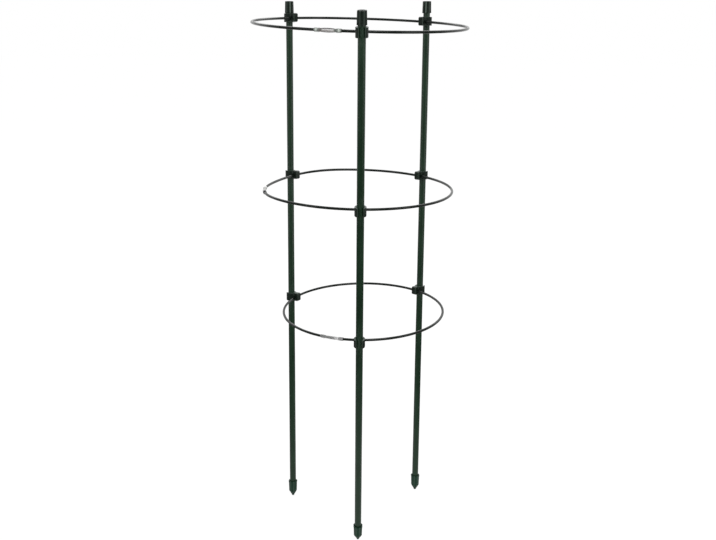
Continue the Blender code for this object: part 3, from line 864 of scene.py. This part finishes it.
class SUPPORT_OT_tips(bpy.types.Operator):
    """Build the fluted pointed tips under the stakes"""

    bl_idname = "plant_support.tips"
    bl_label = "Tips"

    def execute(self, context):
        settings = context.scene.plant_support
        finish = settings.finish
        material = polypropylene_moulding("moulded_tip_polypropylene", finish, finish.tip, 5.0)
        for stake in lines_of(settings)[1]:
            fluted_piece(stake, "tip", stake.side + "_pointed_tip", stake.side + "_stake_tip",
                         tip_profile(settings), material, settings, LAND_WEAR_AND_HIGHLIGHT)
        return {"FINISHED"}


def wire_grid(hoop, wire, sleeve_length):
    """A hoop's wire, a tube along the hoop line, and each point's place on the wire itself.

    Its radius wavers by two slow waves, 44 and 18 mm long. The last rows of each end round
    the coat over and step in to the sheared steel core.
    """
    half_gap = (sleeve_length - 2 * wire.grip) / 2 / hoop.distance(hoop.joint)
    bearings = hoop.joint + np.linspace(half_gap, 2 * math.pi - half_gap, WIRE_ROWS)
    middles, outwards = hoop.point(bearings), hoop.outward(bearings)
    along = unit(np.cross(hoop.n, outwards))
    steps = np.linalg.norm(np.diff(middles, axis=0), axis=1)
    lengths = np.concatenate([[0.0], steps.cumsum()]) * MM
    outer, core = wire.diameter / 2, wire.diameter / 2 - wire.coat_wall
    radius = outer + wire.ripple * (np.sin(lengths / 7.0) + np.sin(lengths / 2.9 + 1.0))
    # The rows of an end: radius, and how far in from the cut
    end_rows = np.array([
        (core * 0.5, -0.00010), (core, -0.00006), (core, 0.0),
        (outer - 0.00012, 0.0), (outer - 0.00003, 0.00004), (outer, 0.00012),
    ])
    end_radius, depth = end_rows[:, 0], end_rows[:, 1:]
    last = middles[-1] - depth * along[-1]
    middles = np.vstack([middles[0] + depth * along[0], middles[1:-1], last[::-1]])
    radius = np.concatenate([end_radius, radius[1:-1], end_radius[::-1]])
    repeats = np.ones(WIRE_ROWS, int)
    repeats[[0, -1]] = len(end_rows)
    outwards, lengths = np.repeat(outwards, repeats, axis=0), np.repeat(lengths, repeats)
    grid, out, rise = tube(middles, outwards, hoop.n, radius, WIRE_COLUMNS)
    return grid, np.stack([out * MM, rise * MM, np.broadcast_to(lengths[:, None], out.shape)], axis=-1)


class SUPPORT_OT_hoops(bpy.types.Operator):
    """Build the coated wire of the three hoops"""

    bl_idname = "plant_support.hoops"
    bl_label = "Hoops"

    def execute(self, context):
        settings = context.scene.plant_support
        materials = [drawn_wire_coat(settings.finish), sheared_steel(settings.finish)]
        for index, hoop in enumerate(lines_of(settings)[0]):
            grid, own = wire_grid(hoop, settings.wire, settings.sleeve.length)
            mesh = grid_mesh(hoop.level + "_wire", grid, "poles")
            own = own.reshape(-1, 3) + np.array([0.0, 0.0, pattern_start("wire", index)])
            set_attribute(mesh, "own_mm", np.vstack([own, own[:1], own[-1:]]))
            # The core shows on the two outermost bands of each end, and inside them
            rows, columns = grid.shape[:2]
            cut = np.zeros(len(mesh.polygons), np.int32)
            cut[:2 * columns] = 1
            cut[(rows - 3) * columns:] = 1
            mesh.polygons.foreach_set("material_index", cut)
            add_piece(hoop.level + "_coated_wire", mesh, materials, "cage", "coated_wire",
                      hoop.level + "_hoop")
        return {"FINISHED"}


# The states of a sleeve's soft plastic: what its face shows and how much it hides of what is
# behind, and the same for its rims. It is clear where nothing stretched it, brown or shaded
# where it narrows to a neck, and cloudy or milky where it was stretched over a wire
PLASTIC = {
    "clear": ("#cccccc", 0.06, "#403834", 0.95),
    "thin": ("#b4b4b4", 0.30, "#989898", 0.35),
    "smoky": ("#808080", 0.68, "#b0b0b0", 0.35),
    "cloudy": ("#7c807c", 0.85, "#888c88", 0.55),
    "frosted": ("#989898", 0.85, "#8c8c8c", 0.50),
    "brown": ("#706c68", 0.80, "#746c68", 0.60),
    "shaded": ("#4c5850", 0.85, "#8c908c", 0.32),
    "hazy": ("#e6e6e4", 0.60, "#e6e6e4", 0.70),
    "milky": ("#e8e8e6", 0.95, "#e8e8e6", 0.95),
    "black": ("#080808", 1.00, "#0a0a0a", 1.00),
}

# The state of each sleeve in its left collar, neck and side, in its middle, and in its right
# side, neck and collar, and how strongly a painted highlight ring shows in its collars
SLEEVE_LOOKS = {
    "top": (("cloudy", "brown", "clear", "clear", "clear", "shaded", "cloudy"), 1.0),
    "middle": (("milky", "hazy", "hazy", "hazy", "hazy", "hazy", "black"), 0.0),
    "lower": (("smoky", "smoky", "smoky", "smoky", "thin", "thin", "frosted"), 0.0),
}

# How far from a collar's inner end its neck and its side lie, and the colour and width of the
# painted highlight ring in the collars, in millimetres
NECK_MM, SIDE_MM = 1.3, 3.1
COLLAR_HIGHLIGHT, HIGHLIGHT_WIDTH_MM = "#c8d0c8", 1.0

# Each sleeve: the radius of its necks, how strongly its swelling takes the painted shade
# bands, and how much of its rims' hiding the outer wall keeps between the collars
SLEEVE_WALLS = {
    "top": (0.00168, 1.0, 0.50), "middle": (0.0021, 0.0, 0.35), "lower": (0.0019, 0.0, 0.35),
}
SWELLING_HALF_MM = 7.0
WALL_HALF_MM = 8.0

# Painted shade along a swelling, as two brown bands: a dark one over it where the refracted
# rim shows, and a lighter one at its front. Each: its colour, where round the sleeve and how
# wide, in radians, how much it tints, and how much its face and rims hide
PAINTED_SHADE_BANDS = (
    {"colour": "#1c1512", "turn": 1.15, "width": 0.50, "tint": 1.0, "face": 1.0, "rim": 1.0},
    {"colour": "#574d47", "turn": -0.10, "width": 0.50, "tint": 0.9, "face": 0.81, "rim": 0.0},
)


def sleeve_section(sleeve, neck):
    """Half section of a joint sleeve as distance along, radius and whether it is the bore.

    Outside, two collars stand at the ends, and between two necks the wall swells as a cosine.
    The bore clears the wire in the collars and keeps a wall's distance inside the swelling.
    """
    end, bore = sleeve.length / 2, sleeve.bore / 2
    collar = end - sleeve.collar - sleeve.groove
    collar_radius = bore + sleeve.collar_wall
    shoulder = collar - sleeve.groove * 1.6
    t = np.linspace(-1.0, 1.0, SWELLING_ROWS)
    swelling = neck + (bore + sleeve.bulge_wall - neck) * np.cos(math.pi / 2 * t)
    right = subdivided(rounded([
        (shoulder + 0.00005, neck, 0.0), (collar, collar_radius, SOFT),
        (end, collar_radius, sleeve.lip * 2), (end, bore, FINE), (end - EASED, bore, 0.0),
    ]))
    in_collar = np.linspace(end - SOFT, collar, COLLAR_ROWS)
    along = np.concatenate([in_collar, shoulder * t[::-1], -in_collar[::-1]])
    half = SWELLING_ROWS // 2
    inside = np.maximum(swelling[half:] - sleeve.bulge_wall, sleeve.passage)
    inside = np.interp(np.abs(along), shoulder * t[half:], inside)
    inside = np.where(np.abs(along) > shoulder + 1e-6, bore, inside)
    line = np.vstack([
        np.c_[shoulder * t, swelling], right, np.c_[along, inside], right[::-1] * (-1.0, 1.0),
    ])
    first = SWELLING_ROWS + len(right)
    row = np.arange(len(line))
    return np.c_[line, (row >= first) & (row < first + len(along))]


def sleeve_grid(hoop, section):
    """The sleeve's section turned about the wire and bent to the arc that it slides along, and
    for each point its place on the sleeve itself, its turn about the wire and whether it is
    the bore."""
    along, radius, bore = section[:, :1], section[:, 1:2], section[:, 2:]
    centre = np.array(JOINTS[hoop.level + "_sleeve_slide_round"]["pos_m"])
    middle = hoop.point(hoop.joint) - centre
    bend, toward = np.linalg.norm(middle), unit(middle)
    a = around(SLEEVE_COLUMNS)
    out, z = radius * np.cos(a), radius * np.sin(a)
    turn = along / bend
    local = np.stack([(bend + out) * np.cos(turn), (bend + out) * np.sin(turn), z], axis=-1)
    grid = centre + local @ np.array([toward, np.cross(hoop.n, toward), hoop.n])
    own = np.stack([out * MM, z * MM, np.broadcast_to(along * MM, out.shape)], axis=-1)
    about = (a + math.pi) % (2 * math.pi) - math.pi
    return (grid, own.reshape(-1, 3), np.broadcast_to(about, out.shape).ravel(),
            np.broadcast_to(bore, out.shape).ravel() > 0.5)


def paint_sleeve(mesh, level, sleeve, s, turn, bore):
    """Store on a sleeve's points how it looks, from their distance along in millimetres, their
    turn about the wire and whether they are in the bore. Each state of the plastic fades into
    the next along it, and the collars keep theirs to the ends."""
    states, ring = SLEEVE_LOOKS[level]
    face, face_hides, rim, rim_hides = zip(*(PLASTIC[state] for state in states))
    half_collar = sleeve.collar * MM / 2
    collar = sleeve.length * MM / 2 - 2 * half_collar
    parts = np.array([collar - SIDE_MM, collar - NECK_MM, collar])
    stations = np.concatenate([-parts[::-1], [0.0], parts])
    _, brown, wall_hides = SLEEVE_WALLS[level]
    wall = np.where(~bore & (np.abs(s) < WALL_HALF_MM), wall_hides, 1.0)
    hides = {"face": np.interp(s, stations, face_hides), "rim": np.interp(s, stations, rim_hides) * wall}
    colours = {}
    for seen, written in (("face", face), ("rim", rim)):
        channels = np.array([linear(each) for each in written]).T
        colours[seen] = np.stack([np.interp(s, stations, channel) for channel in channels], axis=-1)
    # A painted highlight ring in the middle of each collar
    highlighted = ring * bell(np.abs(s) - collar - half_collar, HIGHLIGHT_WIDTH_MM)[:, None]
    colours["face"] += (np.array(linear(COLLAR_HIGHLIGHT)) - colours["face"]) * highlighted
    # Painted shade on the swelling: a dark band along its top where the refracted rim shows, and a
    # lighter brown band over its front
    swollen = brown * (~bore & (np.abs(s) < SWELLING_HALF_MM))
    for band in PAINTED_SHADE_BANDS:
        amount = swollen * bell(turn - band["turn"], band["width"])
        for seen in hides:
            tint = (band["tint"] * amount)[:, None]
            colours[seen] += (np.array(linear(band["colour"])) - colours[seen]) * tint
            hides[seen] = np.maximum(hides[seen], band[seen] * amount)
    for seen in hides:
        set_attribute(mesh, seen + "_colour", colours[seen])
        set_attribute(mesh, seen + "_hides", hides[seen])


class SUPPORT_OT_sleeves(bpy.types.Operator):
    """Build the clear sleeves in which the wire ends meet"""

    bl_idname = "plant_support.sleeves"
    bl_label = "Joint sleeves"

    def execute(self, context):
        settings = context.scene.plant_support
        material = clear_sleeve_plastic()
        for index, hoop in enumerate(lines_of(settings)[0]):
            section = sleeve_section(settings.sleeve, SLEEVE_WALLS[hoop.level][0])
            grid, own, turn, bore = sleeve_grid(hoop, section)
            mesh = grid_mesh(hoop.level + "_sleeve", grid)
            set_attribute(mesh, "own_mm", own + np.array([0.0, 0.0, pattern_start("sleeve", index)]))
            paint_sleeve(mesh, hoop.level, settings.sleeve, own[:, 2], turn, bore)
            add_piece(hoop.level + "_clear_sleeve", mesh, [material], hoop.level + "_sleeve",
                      "clear_sleeve", hoop.level + "_hoop_sleeve")
        return {"FINISHED"}


# How far the wire's channel is cut to each side of a clip, and how softly its mouths widen
CHANNEL_REACH, MOUTH_SOFTNESS = 0.0085, 0.0004

# A clip's corners pale, by rubbing and a painted highlight, where its outline differs from one
# softened by the first of these, in full where by the second. Over the third's height its top
# and bottom edges pale too
WEAR_SOFTNESS, FULL_WEAR, WEAR_HEIGHT = 0.0004, 0.00008, 0.0006


def clip_outline(clip):
    """The clip from above as a closed line of points, x along the wire and y away from the hoop.

    Arcs about the stake's axis bound the collar inside and outside. Straight lines bound its
    mouth, and the nose that reaches towards the hoop's middle round the wire.
    """
    half_mouth, half_nose = clip.mouth / 2, clip.nose / 2
    radius, bore = clip.collar_radius, clip.socket_radius
    outer = np.linspace(math.asin(clip.jaw_end / radius), -math.acos(half_nose / radius), ARC_POINTS)
    arc = np.c_[radius * np.cos(outer), radius * np.sin(outer)]
    right = np.vstack([[(half_mouth, clip.jaw_end)], arc, [(half_nose, -clip.reach)]])
    jaw_turn = math.asin(half_mouth / bore)
    inner = np.linspace(math.pi / 2 + jaw_turn, 2.5 * math.pi - jaw_turn, ARC_POINTS)
    socket = np.c_[bore * np.cos(inner), bore * np.sin(inner)]
    line = np.vstack([right, right[::-1] * (-1.0, 1.0), socket, right[:1]])
    travelled = np.concatenate([[0.0], np.linalg.norm(np.diff(line, axis=0), axis=1).cumsum()])
    even = np.linspace(0.0, travelled[-1], OUTLINE_POINTS, endpoint=False)
    return np.c_[np.interp(even, travelled, line[:, 0]), np.interp(even, travelled, line[:, 1])]


def softened(line, width):
    """A closed line averaged along its length with a bell curve of the given width, which
    rounds its corners."""
    spacing = np.linalg.norm(line[1] - line[0])
    reach = int(4 * width / spacing)
    offsets = np.arange(-reach, reach + 1)
    weights = bell(offsets * spacing, width * math.sqrt(2.0))
    weights /= weights.sum()
    return sum(w * np.roll(line, offset, axis=0) for w, offset in zip(weights, offsets))


def clip_grid(clip):
    """The clip's outline raised along z, in metres about the middle of the clip, and how pale
    each point is made, by rubbing and by a painted highlight.

    Each row is the outline drawn in by an inset that follows a quarter circle at the top and
    bottom edges. Above and below, the nose slants back, its end the most. Corners and the top
    and bottom edges are paled, by rubbing and by a painted highlight.
    """
    line = clip_outline(clip)
    soft = softened(line, clip.corner)
    tangent = np.roll(soft, -1, axis=0) - np.roll(soft, 1, axis=0)
    normal = unit(np.c_[tangent[:, 1], -tangent[:, 0]])
    if ((soft * normal).sum(axis=1) * np.linalg.norm(tangent, axis=1)).sum() < 0:
        normal = -normal
    half, edge = clip.height / 2, clip.rounding
    turn = np.linspace(math.pi / 2, 0.0, EDGE_POINTS)
    quarter = np.c_[-half + edge * (1 - np.sin(turn)), edge * (1 - np.cos(turn))]
    slope = np.linspace(-half + edge, -half + clip.slant, EDGE_POINTS)[1:]
    straight = np.linspace(-half + clip.slant, 0.0, EDGE_POINTS)[1:]
    flank = np.concatenate([slope, straight])
    lower = np.vstack([[(-half, edge * 1.3)], quarter, np.c_[flank, np.zeros(len(flank))]])
    z, inset = np.vstack([lower, (lower[:-1] * (-1.0, 1.0))[::-1]]).T[..., None]
    height = np.abs(z)
    slant = np.clip(height - (half - clip.slant), 0.0, None)
    x = soft[:, 0] - inset * normal[:, 0]
    y = soft[:, 1] - inset * normal[:, 1] + slant * share(-soft[:, 1], clip.collar_radius, clip.reach)
    bend = np.linalg.norm(softened(line, WEAR_SOFTNESS) - soft, axis=1)
    paling = np.maximum(share(bend, 0.0, FULL_WEAR), share(height, half - WEAR_HEIGHT, half))
    return np.stack([x, y, np.broadcast_to(z, x.shape)], axis=-1), paling


def channel_grid(hoop, bearing, clip):
    """The space cut for the wire: a tube along the hoop line past the clip, wider at the two
    mouths of the channel by a bell curve."""
    reach = np.linspace(-CHANNEL_REACH, CHANNEL_REACH, CHANNEL_ROWS)
    mouths = bell(np.abs(reach) - clip.nose / 2, MOUTH_SOFTNESS)
    radius = clip.channel / 2 + clip.flare * mouths
    bearings = bearing + reach / hoop.distance(np.array(bearing))
    return tube(hoop.point(bearings), hoop.outward(bearings), hoop.n, radius, CHANNEL_COLUMNS)[0]


def cut_out(mesh, cutter):
    """The mesh with the closed shape of another mesh cut out of it."""
    block, tool = add_object("uncut_clip", mesh), add_object("cutter", cutter)
    cut = block.modifiers.new("cut", "BOOLEAN")
    cut.operation = "DIFFERENCE"
    cut.solver = "EXACT"
    cut.object = tool
    evaluated = block.evaluated_get(bpy.context.evaluated_depsgraph_get())
    result = bpy.data.meshes.new_from_object(evaluated)
    for item in (block, tool):
        bpy.data.objects.remove(item)
    if len(result.vertices) < len(mesh.vertices) / 2:
        raise RuntimeError(f"cutting the wire's channel spoiled {mesh.name}")
    return result


class SUPPORT_OT_clips(bpy.types.Operator):
    """Build the nine clips that hold the hoops to the stakes"""

    bl_idname = "plant_support.clips"
    bl_label = "Clips"

    def execute(self, context):
        settings = context.scene.plant_support
        finish = settings.finish
        material = polypropylene_moulding("moulded_clip_polypropylene", finish, finish.moulding, 6.0)
        hoops, stakes = lines_of(settings)
        local, paling = clip_grid(settings.clip)
        for hoop in hoops:
            for index, stake in enumerate(stakes):
                name = f"{hoop.level}_{stake.side}"
                centre = stake.foot + clip_height(stake, hoop.level) * stake.direction
                axes = stake.axes_at(hoop)
                block = grid_mesh(name + "_block", centre + local @ axes, "faces")
                # The clip's edges paled by rubbing and by a painted highlight
                set_attribute(block, "edge", CLIP_EDGE_WEAR_AND_HIGHLIGHT * paling.ravel())
                bearing = hoop.nearest(stake.crossing(hoop))
                channel = channel_grid(hoop, bearing, settings.clip)
                mesh = cut_out(block, grid_mesh("channel", channel, "faces"))
                shade(mesh, SHARP_DEGREES)
                own_coordinates(mesh, centre, axes, pattern_start("clip", index))
                add_piece(name + "_moulded_clip", mesh, [material], "cage", "moulding", name + "_clip")
        return {"FINISHED"}


# Stage

STAGE_MIDDLE = (0.0, 0.0, 0.30)
FLOOR_RADIUS, FLOOR_DROP = 6.0, 0.0002

# Each lamp: its place, its width and height in metres, and its power in watts
LAMPS = {
    "right_strip": ((1.15, -0.85, 0.55), 0.40, 1.7, 3.2),
    "left_strip": ((-1.15, -0.80, 0.55), 0.35, 1.7, 1.8),
    "overhead": ((0.15, -0.55, 1.7), 0.6, 0.6, 8.0),
    "back": ((0.0, 1.5, 1.5), 2.6, 0.6, 11.0),
}

# The camera: its place, how far it looks down and leans, in radians, and its lens
CAMERA_PLACE = (-0.03511, -0.93999, 0.63102)
CAMERA_PITCH, CAMERA_ROLL = 0.3269, 0.0104
CAMERA_LENS_MM, CAMERA_SENSOR_MM, CAMERA_SHIFT = 44.625, 36.0, 0.04886


def set_place(item, x, y, z, place):
    """Put an object at a place, with its own axes along x, y and z."""
    rows = np.column_stack([x, y, z, place])
    item.matrix_world = Matrix(np.vstack([rows, (0.0, 0.0, 0.0, 1.0)]).tolist())


def add_lamp(name, place, width, height, power):
    """A soft box: an area lamp turned to face the middle of the object."""
    light = bpy.data.lights.new(name, "AREA")
    light.shape = "RECTANGLE"
    light.size, light.size_y, light.energy = width, height, power
    lamp = add_object(name, light)
    z = unit(np.array(place) - np.array(STAGE_MIDDLE))
    x = unit(np.cross((0.0, 0.0, 1.0), z))
    set_place(lamp, x, np.cross(z, x), z, place)
    lamp.visible_camera = False


def add_world():
    """A white studio. Rays from the camera and through clear plastic see plain white, reflected
    ones see white behind the object and a dimmer room the further they go to its front, and
    the rest see a soft grey."""
    world = bpy.data.worlds.new("white_studio")
    bpy.context.scene.world = world
    world.use_nodes = True
    tree = world.node_tree
    tree.nodes.clear()
    direction = add_node(tree, "TexCoord", output="Generated")
    depth = add_node(tree, "SeparateXYZ", [direction], "Y")
    room = add_node(tree, "MapRange", [depth, -0.6, 1.0, 0.30, 1.0], interpolation_type="SMOOTHSTEP")
    gloss = add_node(tree, "LightPath", output="Is Glossy Ray")
    unseen = add_node(tree, "Mix", {0: gloss, 2: 0.76, 3: room})
    strength = add_node(tree, "Mix", {0: seen_ray(tree), 2: unseen, 3: 1.0})
    white = add_node(tree, "Background", {"Color": (1.0, 1.0, 1.0, 1.0), "Strength": strength})
    add_node(tree, "OutputWorld", [white])


def add_camera():
    """The photograph's viewpoint: 0.94 m in front and 0.63 m up, looking 18.7 degrees down."""
    data = bpy.data.cameras.new("camera")
    data.sensor_width, data.lens, data.shift_x = CAMERA_SENSOR_MM, CAMERA_LENS_MM, CAMERA_SHIFT
    data.clip_start, data.clip_end = 0.01, 50.0
    camera = add_object("camera", data)
    forward = np.array([0.0, math.cos(CAMERA_PITCH), -math.sin(CAMERA_PITCH)])
    level = np.array([1.0, 0.0, 0.0])
    upright = np.cross(level, forward)
    right = math.cos(CAMERA_ROLL) * level + math.sin(CAMERA_ROLL) * upright
    up = math.cos(CAMERA_ROLL) * upright - math.sin(CAMERA_ROLL) * level
    set_place(camera, right, up, -forward, CAMERA_PLACE)
    bpy.context.scene.camera = camera


class SUPPORT_OT_stage(bpy.types.Operator):
    """Set the floor, the light and the camera"""

    bl_idname = "plant_support.stage"
    bl_label = "Stage"

    def execute(self, context):
        # A round floor: rings of points about its middle, wider apart further out
        radius = FLOOR_RADIUS * np.linspace(0.0, 1.0, FLOOR_RINGS + 1)[1:, None] ** 2
        grid = spun(radius, -FLOOR_DROP, around(FLOOR_COLUMNS)).reshape(-1, 3)
        points = np.vstack([grid, (0.0, 0.0, -FLOOR_DROP)])
        faces = grid_faces(FLOOR_RINGS, FLOOR_COLUMNS, False)
        mesh = bpy.data.meshes.new("floor")
        mesh.from_pydata(points, [], faces + fan(np.arange(FLOOR_COLUMNS), len(grid)))
        mesh.materials.append(studio_white(context.scene.plant_support.finish))
        floor = add_object("floor", mesh)
        for name, lamp in LAMPS.items():
            add_lamp(name, *lamp)
        add_world()
        add_camera()
        context.scene.view_settings.view_transform = "Standard"
        return {"FINISHED"}


OPERATORS = (
    SUPPORT_OT_stake_tubes, SUPPORT_OT_stake_coats, SUPPORT_OT_caps, SUPPORT_OT_tips,
    SUPPORT_OT_hoops, SUPPORT_OT_sleeves, SUPPORT_OT_clips, SUPPORT_OT_stage,
)


class SUPPORT_PT_panel(bpy.types.Panel):
    """Sizes, finishes and build steps of the plant support"""

    bl_idname = "SUPPORT_PT_panel"
    bl_label = "Ring plant support"
    bl_space_type = "VIEW_3D"
    bl_region_type = "UI"
    bl_category = "Plant support"

    def draw(self, context):
        settings = context.scene.plant_support
        for title in ("stake", "cap", "tip", "wire", "sleeve", "clip", "finish"):
            box = self.layout.box()
            box.label(text=title.capitalize())
            group = getattr(settings, title)
            for name in group.__annotations__:
                box.prop(group, name)
        for operator in OPERATORS:
            self.layout.operator(operator.bl_idname)


CLASSES = (
    StakeSizes, CapSizes, TipSizes, WireSizes, SleeveSizes, ClipSizes, Finishes, PlantSupportSettings,
    *OPERATORS, SUPPORT_PT_panel,
)


def register():
    for item in CLASSES:
        bpy.utils.register_class(item)
    bpy.types.Scene.plant_support = PointerProperty(type=PlantSupportSettings)


def unregister():
    del bpy.types.Scene.plant_support
    for item in reversed(CLASSES):
        bpy.utils.unregister_class(item)


def main():
    register()
    for operator in OPERATORS:
        group, name = operator.bl_idname.split(".")
        getattr(getattr(bpy.ops, group), name)()


if __name__ == "__main__":
    main()
